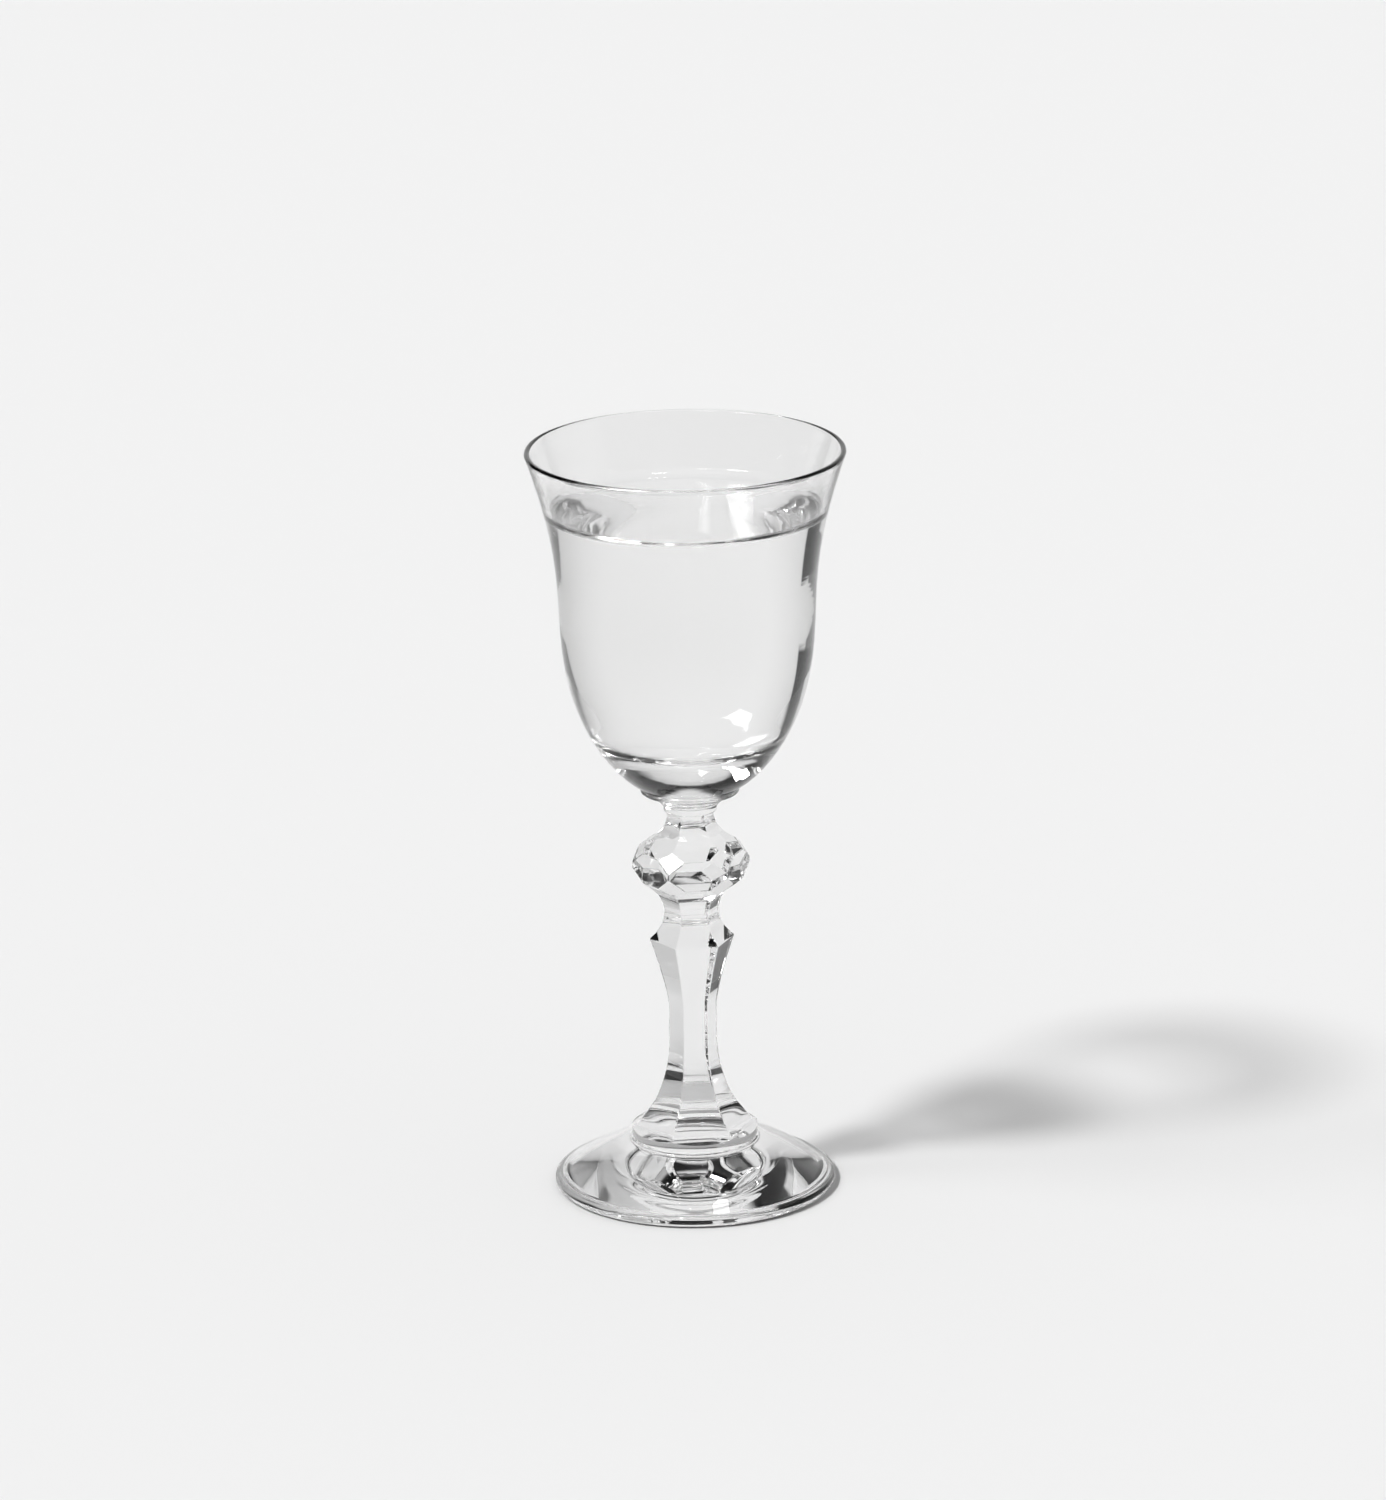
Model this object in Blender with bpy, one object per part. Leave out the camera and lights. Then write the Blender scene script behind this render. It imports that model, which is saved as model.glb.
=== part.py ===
# Stemmed vodka glass: a blown bowl on a short cut stem and a turned foot.
# Five pieces of clear glass, joined hot at four flat faces. Metres, +Z up, foot on Z = 0.

import math

import bmesh
import bpy
from mathutils import Vector

# Whole glass
TOTAL_HEIGHT = 0.1346
JOINT_GAP = 0.0003
ROUND_STEPS = 60

# Foot
FOOT_RADIUS = 0.0249
FOOT_HEIGHT = 0.0088
FOOT_EDGE_HEIGHT = 0.0021
FOOT_DOME = 0.4
FOOT_NECK_RADIUS = 0.0112
FOOT_NECK_HEIGHT = 0.0006
FOOT_RING_WIDTH = 0.0034
RECESS_DEPTH = 0.0030

# Baluster, measured across the flats of its six sides
BALUSTER_HEIGHT = 0.0419
BALUSTER_TOP_FLATS = 0.0084
SHOULDER_FLATS = 0.0131
SHOULDER_DROP = 0.0053
SHAFT_FLATS = 0.0075
SKIRT_FLATS = 0.0182
SKIRT_HEIGHT = 0.0184
SKIRT_POWER = 2.5
HEM_RADIUS = 0.01115
HEM_HEIGHT = 0.0020

# Knop, measured across the flats of its six sides
KNOP_HEIGHT = 0.0178
KNOP_FLATS = 0.0181
KNOP_BAND_HEIGHT = 0.0054
KNOP_EQUATOR = 0.0083
KNOP_CORNER_SLOPE = 0.70
KNOP_EDGE_HEIGHT = 0.0010
KNOP_TOP_FLATS = 0.0072
KNOP_LOW_FLATS = 0.0084

# Merese
MERESE_HEIGHT = 0.0038
MERESE_RADIUS = 0.0087
MERESE_EDGE_HEIGHT = 0.0010
MERESE_RING_RADIUS = 0.0047
MERESE_RING_HEIGHT = 0.0017

# Bowl
RIM_RADIUS = 0.0280
RIM_WALL = 0.0010
BARREL_RADIUS = 0.0224
BARREL_WALL = 0.0013
BARREL_DROP = 0.0306
FLARE_POWER = 2.0
BASE_THICKNESS = 0.0083
BASE_FULLNESS = 2.7

# Heights of the four joints, worked out from the pieces
FOOT_TOP = FOOT_HEIGHT
BALUSTER_LOW = FOOT_TOP + JOINT_GAP
BALUSTER_TOP = BALUSTER_LOW + BALUSTER_HEIGHT
KNOP_LOW = BALUSTER_TOP + JOINT_GAP
KNOP_TOP = KNOP_LOW + KNOP_HEIGHT
MERESE_LOW = KNOP_TOP + JOINT_GAP
MERESE_TOP = MERESE_LOW + MERESE_HEIGHT
BOWL_LOW = MERESE_TOP + JOINT_GAP
BARREL_Z = TOTAL_HEIGHT - BARREL_DROP

HEX_TURN = math.radians(60)
HEX_CORNER = 1 / math.cos(math.radians(30))


def clear_scene():
    """Take out every object that the start-up file brought."""
    for item in list(bpy.data.objects):
        bpy.data.objects.remove(item, do_unlink=True)


def glass_material(name, tint, roughness):
    """Clear glass with a faint tint, one material for each piece."""
    material = bpy.data.materials.new(name)
    material.use_nodes = True
    shader = material.node_tree.nodes["Principled BSDF"]
    shader.inputs["Base Color"].default_value = (*tint, 1.0)
    shader.inputs["Roughness"].default_value = roughness
    shader.inputs["IOR"].default_value = 1.52
    shader.inputs["Transmission Weight"].default_value = 1.0
    return material


def finish(name, bm, material, sharp_degrees):
    """Turn a bmesh into a named object that faces outwards and shades by angle."""
    bmesh.ops.remove_doubles(bm, verts=bm.verts, dist=1e-7)
    bmesh.ops.recalc_face_normals(bm, faces=bm.faces)
    mesh = bpy.data.meshes.new(name)
    bm.to_mesh(mesh)
    bm.free()
    mesh.shade_smooth()
    mesh.set_sharp_from_angle(angle=math.radians(sharp_degrees))
    mesh.materials.append(material)
    piece = bpy.data.objects.new(name, mesh)
    bpy.context.scene.collection.objects.link(piece)
    return piece


def arc(centre, radii, start, end, steps):
    """Points (r, z) on an ellipse's arc, angles in degrees from the outward direction."""
    points = []
    for i in range(steps + 1):
        angle = math.radians(start + (end - start) * i / steps)
        r = centre[0] + radii[0] * math.cos(angle)
        z = centre[1] + radii[1] * math.sin(angle)
        points.append((max(r, 0.0), z))
    return points


def turned(profile):
    """Spin a closed (r, z) outline once around Z; it may start and end on the axis."""
    bm = bmesh.new()
    rings = []
    for r, z in profile:
        if r < 1e-9:
            rings.append([bm.verts.new((0.0, 0.0, z))])
            continue
        ring = []
        for i in range(ROUND_STEPS):
            angle = 2 * math.pi * i / ROUND_STEPS
            ring.append(bm.verts.new((r * math.cos(angle), r * math.sin(angle), z)))
        rings.append(ring)
    for low, high in zip(rings, rings[1:]):
        for i in range(ROUND_STEPS):
            j = (i + 1) % ROUND_STEPS
            corners = [low[i % len(low)], low[j % len(low)], high[j % len(high)], high[i % len(high)]]
            bm.faces.new(dict.fromkeys(corners))
    return bm


def hex_ring(bm, apothem, z):
    """Six corners with one flat facing -Y."""
    radius = apothem * HEX_CORNER
    ring = []
    for i in range(6):
        angle = math.radians(-120) + i * HEX_TURN
        ring.append(bm.verts.new((radius * math.cos(angle), radius * math.sin(angle), z)))
    return ring


def hex_loft(levels):
    """A closed six-sided body through (apothem, z) levels from the lowest to the highest."""
    bm = bmesh.new()
    rings = [hex_ring(bm, apothem, z) for apothem, z in levels]
    for low, high in zip(rings, rings[1:]):
        for i in range(6):
            j = (i + 1) % 6
            bm.faces.new((low[i], low[j], high[j], high[i]))
    bm.faces.new(reversed(rings[0]))
    bm.faces.new(rings[-1])
    return bm


def eased(start, end, share, power):
    """A value between start and end that leaves start slowly and reaches end steeply."""
    return start + (end - start) * share ** power


def make_foot(material):
    """A turned foot that rises in a low dome to the stem and is hollowed out underneath."""
    recess = FOOT_RADIUS - FOOT_RING_WIDTH
    sphere = (recess ** 2 + RECESS_DEPTH ** 2) / (2 * RECESS_DEPTH)
    half_angle = math.degrees(math.asin(recess / sphere))
    profile = arc((0.0, RECESS_DEPTH - sphere), (sphere, sphere), 90, 90 - half_angle, 8)
    half_edge = FOOT_EDGE_HEIGHT / 2
    rounding = 1.2 * half_edge
    profile += arc((FOOT_RADIUS - rounding, half_edge), (rounding, half_edge), -90, 90, 8)
    dome_start = FOOT_RADIUS - rounding
    dome_end = FOOT_NECK_RADIUS * 1.06
    rise = FOOT_TOP - FOOT_NECK_HEIGHT - FOOT_EDGE_HEIGHT
    steps = 10
    for i in range(1, steps + 1):
        share = i / steps
        lift = share + FOOT_DOME * share * (1 - share)
        profile.append((dome_start + (dome_end - dome_start) * share, FOOT_EDGE_HEIGHT + rise * lift))
    profile.append((FOOT_NECK_RADIUS, FOOT_TOP))
    profile.append((0.0, FOOT_TOP))
    return finish("foot", turned(profile), material, 30)


def baluster_levels():
    """Half widths of the six-sided baluster, from the joint at the foot to the neck."""
    shoulder_z = BALUSTER_TOP - SHOULDER_DROP
    skirt_top = BALUSTER_LOW + SKIRT_HEIGHT
    hem_top = BALUSTER_LOW + HEM_HEIGHT
    shaft_top = skirt_top + 0.324 * (shoulder_z - skirt_top)
    wide = HEM_RADIUS * 1.25
    levels = [(wide, BALUSTER_LOW), (wide, BALUSTER_LOW + 0.50 * HEM_HEIGHT)]
    levels.append((HEM_RADIUS, BALUSTER_LOW + 0.66 * HEM_HEIGHT))
    levels.append((HEM_RADIUS * 0.89, BALUSTER_LOW + 0.83 * HEM_HEIGHT))
    for i in range(13):
        share = i / 12
        apothem = eased(SHAFT_FLATS / 2, SKIRT_FLATS / 2, 1 - share, SKIRT_POWER)
        levels.append((apothem, hem_top + (skirt_top - hem_top) * share))
    levels.append((SHAFT_FLATS / 2, shaft_top))
    for i in range(1, 8):
        share = i / 7
        apothem = eased(SHAFT_FLATS / 2, SHOULDER_FLATS / 2, share, 1.3)
        levels.append((apothem, shaft_top + (shoulder_z - shaft_top) * share))
    for i in range(1, 7):
        share = i / 6
        apothem = eased(BALUSTER_TOP_FLATS / 2, SHOULDER_FLATS / 2, 1 - share, 2.4)
        levels.append((apothem, shoulder_z + SHOULDER_DROP * share))
    return levels


def make_baluster(material):
    """The six-sided lower stem, whose skirt runs out on a round hem."""
    levels = baluster_levels()
    piece = finish("baluster", hex_loft(levels), material, 20)
    soft = HEM_HEIGHT * 0.15
    profile = [
        (0.0, BALUSTER_LOW),
        (HEM_RADIUS - soft, BALUSTER_LOW),
        (HEM_RADIUS, BALUSTER_LOW + soft),
        (HEM_RADIUS, BALUSTER_TOP + HEM_HEIGHT),
        (0.0, BALUSTER_TOP + HEM_HEIGHT),
    ]
    blank = finish("baluster_blank", turned(profile), material, 30)
    blank.hide_render = True
    blank.display_type = "WIRE"
    cut = piece.modifiers.new("round_hem", "BOOLEAN")
    cut.operation = "INTERSECT"
    cut.solver = "EXACT"
    cut.object = blank
    return piece


def slice_off(bm, point, normal):
    """Cut away what lies beyond a plane and close the cut with one flat facet."""
    parts = bm.verts[:] + bm.edges[:] + bm.faces[:]
    result = bmesh.ops.bisect_plane(
        bm, geom=parts, dist=1e-8, plane_co=point, plane_no=normal, clear_outer=True
    )
    edges = [item for item in result["geom_cut"] if isinstance(item, bmesh.types.BMEdge)]
    bmesh.ops.holes_fill(bm, edges=edges, sides=0)


def pull_neck(bm, levels):
    """Draw the body's highest or lowest flat out through (apothem, z) levels."""
    for apothem, z in levels:
        sign = 1 if z > KNOP_LOW + KNOP_EQUATOR else -1
        cap = max(bm.faces, key=lambda face: sign * face.calc_center_median().z)
        grown = bmesh.ops.extrude_discrete_faces(bm, faces=[cap])["faces"][0]
        for vert in grown.verts:
            flat = Vector((vert.co.x, vert.co.y))
            flat *= apothem * HEX_CORNER / flat.length
            vert.co = (flat.x, flat.y, z)


def make_knop(material):
    """A six-sided cut knop with its corners faceted, between two short necks."""
    centre = KNOP_LOW + KNOP_EQUATOR
    half = KNOP_FLATS / 2
    band = KNOP_BAND_HEIGHT / 2
    rise = KNOP_TOP - centre
    drop = centre - KNOP_LOW
    body = [
        (eased(KNOP_LOW_FLATS / 2, half, 0.18, 1.0), centre - 0.71 * drop),
        (eased(KNOP_LOW_FLATS / 2, half, 0.45, 1.0), centre - 0.54 * drop),
        (half, centre - band),
        (half, centre + band),
        (eased(KNOP_TOP_FLATS / 2, half, 0.50, 1.0), centre + 0.46 * rise),
        (eased(KNOP_TOP_FLATS / 2, half, 0.26, 1.0), centre + 0.57 * rise),
    ]
    bm = hex_loft(body)
    corner = half * HEX_CORNER
    tilt = math.atan(KNOP_CORNER_SLOPE)
    for i in range(6):
        angle = math.radians(-120) + i * HEX_TURN
        outward = Vector((math.cos(angle), math.sin(angle), 0.0))
        for side in (-1, 1):
            point = outward * corner + Vector((0.0, 0.0, centre + side * KNOP_EDGE_HEIGHT / 2))
            slice_off(bm, point, outward * math.cos(tilt) + Vector((0.0, 0.0, side * math.sin(tilt))))
    pull_neck(bm, [
        (eased(KNOP_TOP_FLATS / 2, half, 0.12, 1.0), centre + 0.68 * rise),
        (eased(KNOP_TOP_FLATS / 2, half, 0.04, 1.0), centre + 0.79 * rise),
        (KNOP_TOP_FLATS / 2, centre + 0.90 * rise),
        (KNOP_TOP_FLATS / 2, KNOP_TOP),
    ])
    pull_neck(bm, [
        (eased(KNOP_LOW_FLATS / 2, half, 0.11, 1.0), centre - 0.80 * drop),
        (eased(KNOP_LOW_FLATS / 2, half, 0.05, 1.0), centre - 0.90 * drop),
        (KNOP_LOW_FLATS / 2, KNOP_LOW),
    ])
    return finish("knop", bm, material, 20)


def make_merese(material):
    """The flat collar under the bowl, with a small ring below it."""
    edge = MERESE_EDGE_HEIGHT / 2
    soft = MERESE_RING_HEIGHT * 0.25
    ring_top = MERESE_LOW + MERESE_RING_HEIGHT
    profile = [
        (0.0, MERESE_LOW),
        (MERESE_RING_RADIUS - soft, MERESE_LOW),
        (MERESE_RING_RADIUS, MERESE_LOW + soft),
        (MERESE_RING_RADIUS, ring_top),
    ]
    profile += arc((MERESE_RADIUS - edge, MERESE_TOP - edge), (edge, edge), -70, 90, 6)
    profile.append((0.0, MERESE_TOP))
    return finish("merese", turned(profile), material, 30)


def full_arc(centre, radii, fullness, steps):
    """Points (r, z) down a quarter of an ellipse that is squarer where fullness is above 2."""
    points = []
    for i in range(steps + 1):
        angle = math.radians(90) * i / steps
        r = centre[0] + radii[0] * max(math.cos(angle), 0.0) ** (2 / fullness)
        z = centre[1] - radii[1] * math.sin(angle) ** (2 / fullness)
        points.append((r if i < steps else 0.0, z))
    return points


def flare(barrel, rim, steps):
    """Points of the bowl's wall from just above the barrel up to just below the rim."""
    points = []
    top = TOTAL_HEIGHT - RIM_WALL / 2
    for i in range(1, steps + 1):
        share = i / steps
        points.append((eased(barrel, rim, share, FLARE_POWER), BARREL_Z + (top - BARREL_Z) * share))
    return points


def make_bowl(material):
    """A blown bell: half an ellipse below the barrel and a flaring lip above it."""
    foot_of_bowl = MERESE_RADIUS * 0.985
    depth = (BARREL_Z - BOWL_LOW) / math.sqrt(1 - (foot_of_bowl / BARREL_RADIUS) ** 2)
    start = -math.degrees(math.asin((BARREL_Z - BOWL_LOW) / depth))
    inside_radius = BARREL_RADIUS - BARREL_WALL
    inside_depth = BARREL_Z - BOWL_LOW - BASE_THICKNESS
    profile = [(0.0, BOWL_LOW)]
    profile += arc((0.0, BARREL_Z), (BARREL_RADIUS, depth), start, 0, 11)
    profile += flare(BARREL_RADIUS, RIM_RADIUS, 9)
    lip = (RIM_RADIUS - RIM_WALL / 2, TOTAL_HEIGHT - RIM_WALL / 2)
    profile += arc(lip, (RIM_WALL / 2, RIM_WALL / 2), 0, 180, 6)[1:-1]
    profile += reversed(flare(inside_radius, RIM_RADIUS - RIM_WALL, 9))
    profile += full_arc((0.0, BARREL_Z), (inside_radius, inside_depth), BASE_FULLNESS, 16)
    return finish("bowl", turned(profile), material, 40)


clear_scene()
make_foot(glass_material("foot_glass", (0.97, 0.98, 0.98), 0.02))
make_baluster(glass_material("baluster_glass", (0.97, 0.98, 0.98), 0.02))
make_knop(glass_material("knop_glass", (0.97, 0.98, 0.98), 0.02))
make_merese(glass_material("merese_glass", (0.97, 0.98, 0.98), 0.02))
make_bowl(glass_material("bowl_glass", (0.98, 0.99, 0.99), 0.01))
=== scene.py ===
# %% [markdown]
# # A stemmed vodka glass in clear crystal
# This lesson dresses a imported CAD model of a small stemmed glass. The real glass is five pieces of
# clear crystal that were joined while hot: a blown bowl, a flat collar, a cut knop, a cut baluster
# and a turned foot. Clear glass shows nothing but what it bends, so the shapes have to be right to a
# tenth of a millimetre, and the light around it does the drawing.

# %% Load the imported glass
import math

import bmesh
import bpy
import numpy as np
from mathutils import Matrix, Quaternion, Vector


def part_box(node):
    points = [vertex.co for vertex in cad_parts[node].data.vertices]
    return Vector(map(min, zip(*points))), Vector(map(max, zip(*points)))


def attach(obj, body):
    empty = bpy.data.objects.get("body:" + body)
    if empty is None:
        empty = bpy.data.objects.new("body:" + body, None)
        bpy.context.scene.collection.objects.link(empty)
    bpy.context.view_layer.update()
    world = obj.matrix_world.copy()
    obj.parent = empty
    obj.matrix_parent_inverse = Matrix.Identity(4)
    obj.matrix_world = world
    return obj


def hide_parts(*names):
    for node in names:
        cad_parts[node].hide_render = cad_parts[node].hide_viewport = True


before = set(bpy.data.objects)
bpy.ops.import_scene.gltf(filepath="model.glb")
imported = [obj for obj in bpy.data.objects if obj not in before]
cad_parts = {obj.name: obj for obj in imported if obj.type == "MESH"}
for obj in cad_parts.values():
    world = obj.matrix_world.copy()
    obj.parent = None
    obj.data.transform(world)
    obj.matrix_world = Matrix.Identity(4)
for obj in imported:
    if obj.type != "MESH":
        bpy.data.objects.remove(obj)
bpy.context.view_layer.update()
MM = 0.001
bowl_low, rim_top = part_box("bowl")[0][2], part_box("bowl")[1][2]
merese_low, merese_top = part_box("merese")[0][2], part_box("merese")[1][2]
knop_low, knop_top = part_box("knop")[0][2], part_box("knop")[1][2]
baluster_low, baluster_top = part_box("baluster")[0][2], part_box("baluster")[1][2]
foot_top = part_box("foot")[1][2]
joints = [
    (foot_top, baluster_low), (baluster_top, knop_low), (knop_top, merese_low), (merese_top, bowl_low),
]
print("joints at", [(round(low / MM, 2), round(high / MM, 2)) for low, high in joints], "mm")
print("rim at", round(rim_top / MM, 2), "mm")

# %% [markdown]
# ## The clear finishes
# Lead-free crystal bends light by about 1.52, and a Principled skin with full transmission and no
# roughness is all that it needs. Three kinds of face need other values. Where two pieces were fused
# there is no surface at all, so those faces are fully see-through. Where the drink wets the bowl,
# light goes from glass to liquid, and only the ratio of the two indices counts. The drink's own top
# meets air. A blown or fire-polished skin is never quite flat, so a faint ripple bends the normal a
# little; it is one node group, used with its own strength on each finish.

# %% The ripple of hot-worked glass
RING_STRETCH = (0.12, 0.12, 1.0)


def make_ripple_group():
    """A height that wanders slowly over the surface, with faint rings across the axis."""
    group = bpy.data.node_groups.new("hot_worked_ripple", "ShaderNodeTree")
    group.interface.new_socket("Swell Scale", in_out="INPUT", socket_type="NodeSocketFloat")
    group.interface.new_socket("Ring Scale", in_out="INPUT", socket_type="NodeSocketFloat")
    group.interface.new_socket("Ring Share", in_out="INPUT", socket_type="NodeSocketFloat")
    group.interface.new_socket("Height", in_out="OUTPUT", socket_type="NodeSocketFloat")
    nodes, links = group.nodes, group.links
    inputs = nodes.new("NodeGroupInput")
    outputs = nodes.new("NodeGroupOutput")
    coords = nodes.new("ShaderNodeTexCoord")
    swell = nodes.new("ShaderNodeTexNoise")
    swell.inputs["Detail"].default_value = 1.0
    flatten = nodes.new("ShaderNodeMapping")
    flatten.inputs["Scale"].default_value = RING_STRETCH
    rings = nodes.new("ShaderNodeTexNoise")
    rings.inputs["Detail"].default_value = 2.0
    mix = nodes.new("ShaderNodeMix")
    links.new(coords.outputs["Object"], swell.inputs["Vector"])
    links.new(inputs.outputs["Swell Scale"], swell.inputs["Scale"])
    links.new(coords.outputs["Object"], flatten.inputs["Vector"])
    links.new(flatten.outputs["Vector"], rings.inputs["Vector"])
    links.new(inputs.outputs["Ring Scale"], rings.inputs["Scale"])
    links.new(inputs.outputs["Ring Share"], mix.inputs["Factor"])
    links.new(swell.outputs["Fac"], mix.inputs["A"])
    links.new(rings.outputs["Fac"], mix.inputs["B"])
    links.new(mix.outputs["Result"], outputs.inputs["Height"])
    return group


ripple_group = make_ripple_group()
print("ripple group sockets:", [item.name for item in ripple_group.interface.items_tree])

# %% [markdown]
# ## How glass shades the table
# A path tracer hardly ever finds the way from a small lamp through bent glass, so bare glass would
# cast a black shadow. The Light Path node helps: rays that look for a lamp meet a plain transparent
# skin, and its grey, here called through, says how much light one skin lets past. Thick glass throws
# more light aside than a thin wall, so the bowl, the belly that gathers light like a lens, the thick
# base, the cut stem, the knop and the foot each get their own value. The value called mirror dims the
# head-on reflection; glancing reflections stay as strong as they are on real glass.

# %% Make a clear finish
def clear_finish(name, index, tint, through, ripple=None, mirror=0.55):
    """A clear skin; lamps shine through it with the grey called through."""
    material = bpy.data.materials.new(name)
    material.use_nodes = True
    nodes, links = material.node_tree.nodes, material.node_tree.links
    skin = nodes["Principled BSDF"]
    skin.inputs["Base Color"].default_value = (tint, tint, tint, 1.0)
    skin.inputs["Roughness"].default_value = 0.0
    skin.inputs["IOR"].default_value = index
    skin.inputs["Transmission Weight"].default_value = 1.0
    skin.inputs["Specular Tint"].default_value = (mirror, mirror, mirror, 1.0)
    if ripple:
        links.new(rippled_normal(nodes, links, *ripple), skin.inputs["Normal"])
    lamp_ray = nodes.new("ShaderNodeLightPath")
    lamp_through = nodes.new("ShaderNodeBsdfTransparent")
    lamp_through.inputs["Color"].default_value = (through, through, through, 1.0)
    either = nodes.new("ShaderNodeMixShader")
    links.new(lamp_ray.outputs["Is Shadow Ray"], either.inputs["Fac"])
    links.new(skin.outputs["BSDF"], either.inputs[1])
    links.new(lamp_through.outputs["BSDF"], either.inputs[2])
    links.new(either.outputs["Shader"], nodes["Material Output"].inputs["Surface"])
    return material


def rippled_normal(nodes, links, swell_scale, ring_scale, ring_share, depth):
    """The normal of a skin whose ripple is this deep, in metres; the scales are waves per metre."""
    wander = nodes.new("ShaderNodeGroup")
    wander.node_tree = ripple_group
    wander.inputs["Swell Scale"].default_value = swell_scale
    wander.inputs["Ring Scale"].default_value = ring_scale
    wander.inputs["Ring Share"].default_value = ring_share
    bump = nodes.new("ShaderNodeBump")
    bump.inputs["Strength"].default_value = 1.0
    bump.inputs["Distance"].default_value = depth
    links.new(wander.outputs["Height"], bump.inputs["Height"])
    return bump.outputs["Normal"]


def fused_finish(name):
    """A face inside solid glass: light goes straight on."""
    material = bpy.data.materials.new(name)
    material.use_nodes = True
    nodes, links = material.node_tree.nodes, material.node_tree.links
    nodes.remove(nodes["Principled BSDF"])
    straight = nodes.new("ShaderNodeBsdfTransparent")
    links.new(straight.outputs["BSDF"], nodes["Material Output"].inputs["Surface"])
    return material


# %% Crystal, wetted crystal, drink and fused joint
CRYSTAL_INDEX = 1.52
VODKA_INDEX = 1.36
WETTED_INDEX = CRYSTAL_INDEX / VODKA_INDEX
BLOWN_RIPPLE = (90, 900, 0.7, 0.000018)
BELLY_RIPPLE = (90, 420, 0.6, 0.00002)
CUT_RIPPLE = (160, 300, 0.2, 0.00001)
TURNED_RIPPLE = (110, 300, 0.3, 0.00001)

blown_crystal = clear_finish("blown_crystal", CRYSTAL_INDEX, 0.99, 0.64, BLOWN_RIPPLE, mirror=0.70)
lens_crystal = clear_finish("lens_crystal", CRYSTAL_INDEX, 0.99, 0.95, BELLY_RIPPLE, mirror=0.70)
cut_crystal = clear_finish("cut_crystal", CRYSTAL_INDEX, 0.98, 0.50, CUT_RIPPLE)
turned_crystal = clear_finish("turned_crystal", CRYSTAL_INDEX, 0.99, 1.0, TURNED_RIPPLE)
ball_crystal = clear_finish("ball_crystal", CRYSTAL_INDEX, 0.98, 0.72, CUT_RIPPLE)
thick_crystal = clear_finish("thick_crystal", CRYSTAL_INDEX, 0.99, 0.25, TURNED_RIPPLE)
wetted_crystal = clear_finish("wetted_crystal", WETTED_INDEX, 1.0, 0.98, mirror=0.15)
vodka_top = clear_finish("vodka_top", VODKA_INDEX, 1.0, 0.95, mirror=1.0)
fused_joint = fused_finish("fused_joint")
print("light bends by", CRYSTAL_INDEX, "into crystal and", round(WETTED_INDEX, 3), "from drink to crystal")

# %% [markdown]
# ## The foot
# The foot was spun from a hot gather, so every cross-section through the axis is the same outline.
# Spinning that outline is the natural way to model it. The outline starts in the wide polished hollow
# underneath, crosses the narrow flat ring that stands on the table, rounds the edge, and climbs in a
# low dome to the step under the stem.

# %% Spin an outline into a closed piece
TURN_STEPS = 192
SEAM = 0.02 * MM
SAME_HEIGHT = 0.01 * MM


def arc(centre, radii, start, end, steps):
    """Points (r, z) on an ellipse's arc, in degrees from the outward direction."""
    angles = [math.radians(start + (end - start) * i / steps) for i in range(steps + 1)]
    points = [(centre[0] + radii[0] * math.cos(a), centre[1] + radii[1] * math.sin(a)) for a in angles]
    return [(max(r, 0.0), z) for r, z in points]


def spin_outline(outline):
    """Turn an (r, z) outline once around the axis and close it."""
    bm = bmesh.new()
    chain = [bm.verts.new((r, 0.0, z)) for r, z in outline]
    edges = [bm.edges.new(pair) for pair in zip(chain, chain[1:])]
    bmesh.ops.spin(
        bm, geom=chain + edges, cent=(0, 0, 0), axis=(0, 0, 1), dvec=(0, 0, 0),
        angle=2 * math.pi, steps=TURN_STEPS, use_merge=True, use_duplicate=False,
    )
    bmesh.ops.remove_doubles(bm, verts=bm.verts, dist=1e-7)
    bmesh.ops.recalc_face_normals(bm, faces=bm.faces)
    return bm


def show(name, bm, finishes, sharp_degrees, node):
    """Make the piece, let it ride with the glass and stand for its CAD node."""
    mesh = bpy.data.meshes.new(name)
    bm.to_mesh(mesh)
    bm.free()
    for finish in finishes:
        mesh.materials.append(finish)
    mesh.shade_smooth()
    mesh.set_sharp_from_angle(angle=math.radians(sharp_degrees))
    piece = bpy.data.objects.new(name, mesh)
    bpy.context.scene.collection.objects.link(piece)
    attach(piece, "root")
    if node:
        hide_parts(node)
    print(name, "has", len(mesh.polygons), "faces")
    return piece


def mark_flat_ends(bm, heights, slot, radius=1.0):
    """Give the flat faces at these heights, out to a radius, the slot of the fused joint."""
    for face in bm.faces:
        middle = face.calc_center_median()
        level = abs(face.normal.z) > 0.99 and any(abs(middle.z - z) < SAME_HEIGHT for z in heights)
        if level and math.hypot(middle.x, middle.y) < radius:
            face.material_index = slot


print("one turn has", TURN_STEPS, "steps; fused faces stand", round(SEAM / MM, 3), "mm apart")

# %% [markdown]
# ## Smooth outlines
# Glass shows the smallest kink in an outline as a streak of light. A natural cubic spline through a
# few measured points has a bend that never jumps, so the dome of the foot, the skirt of the stem and
# both sides of the bowl are drawn with it.

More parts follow.
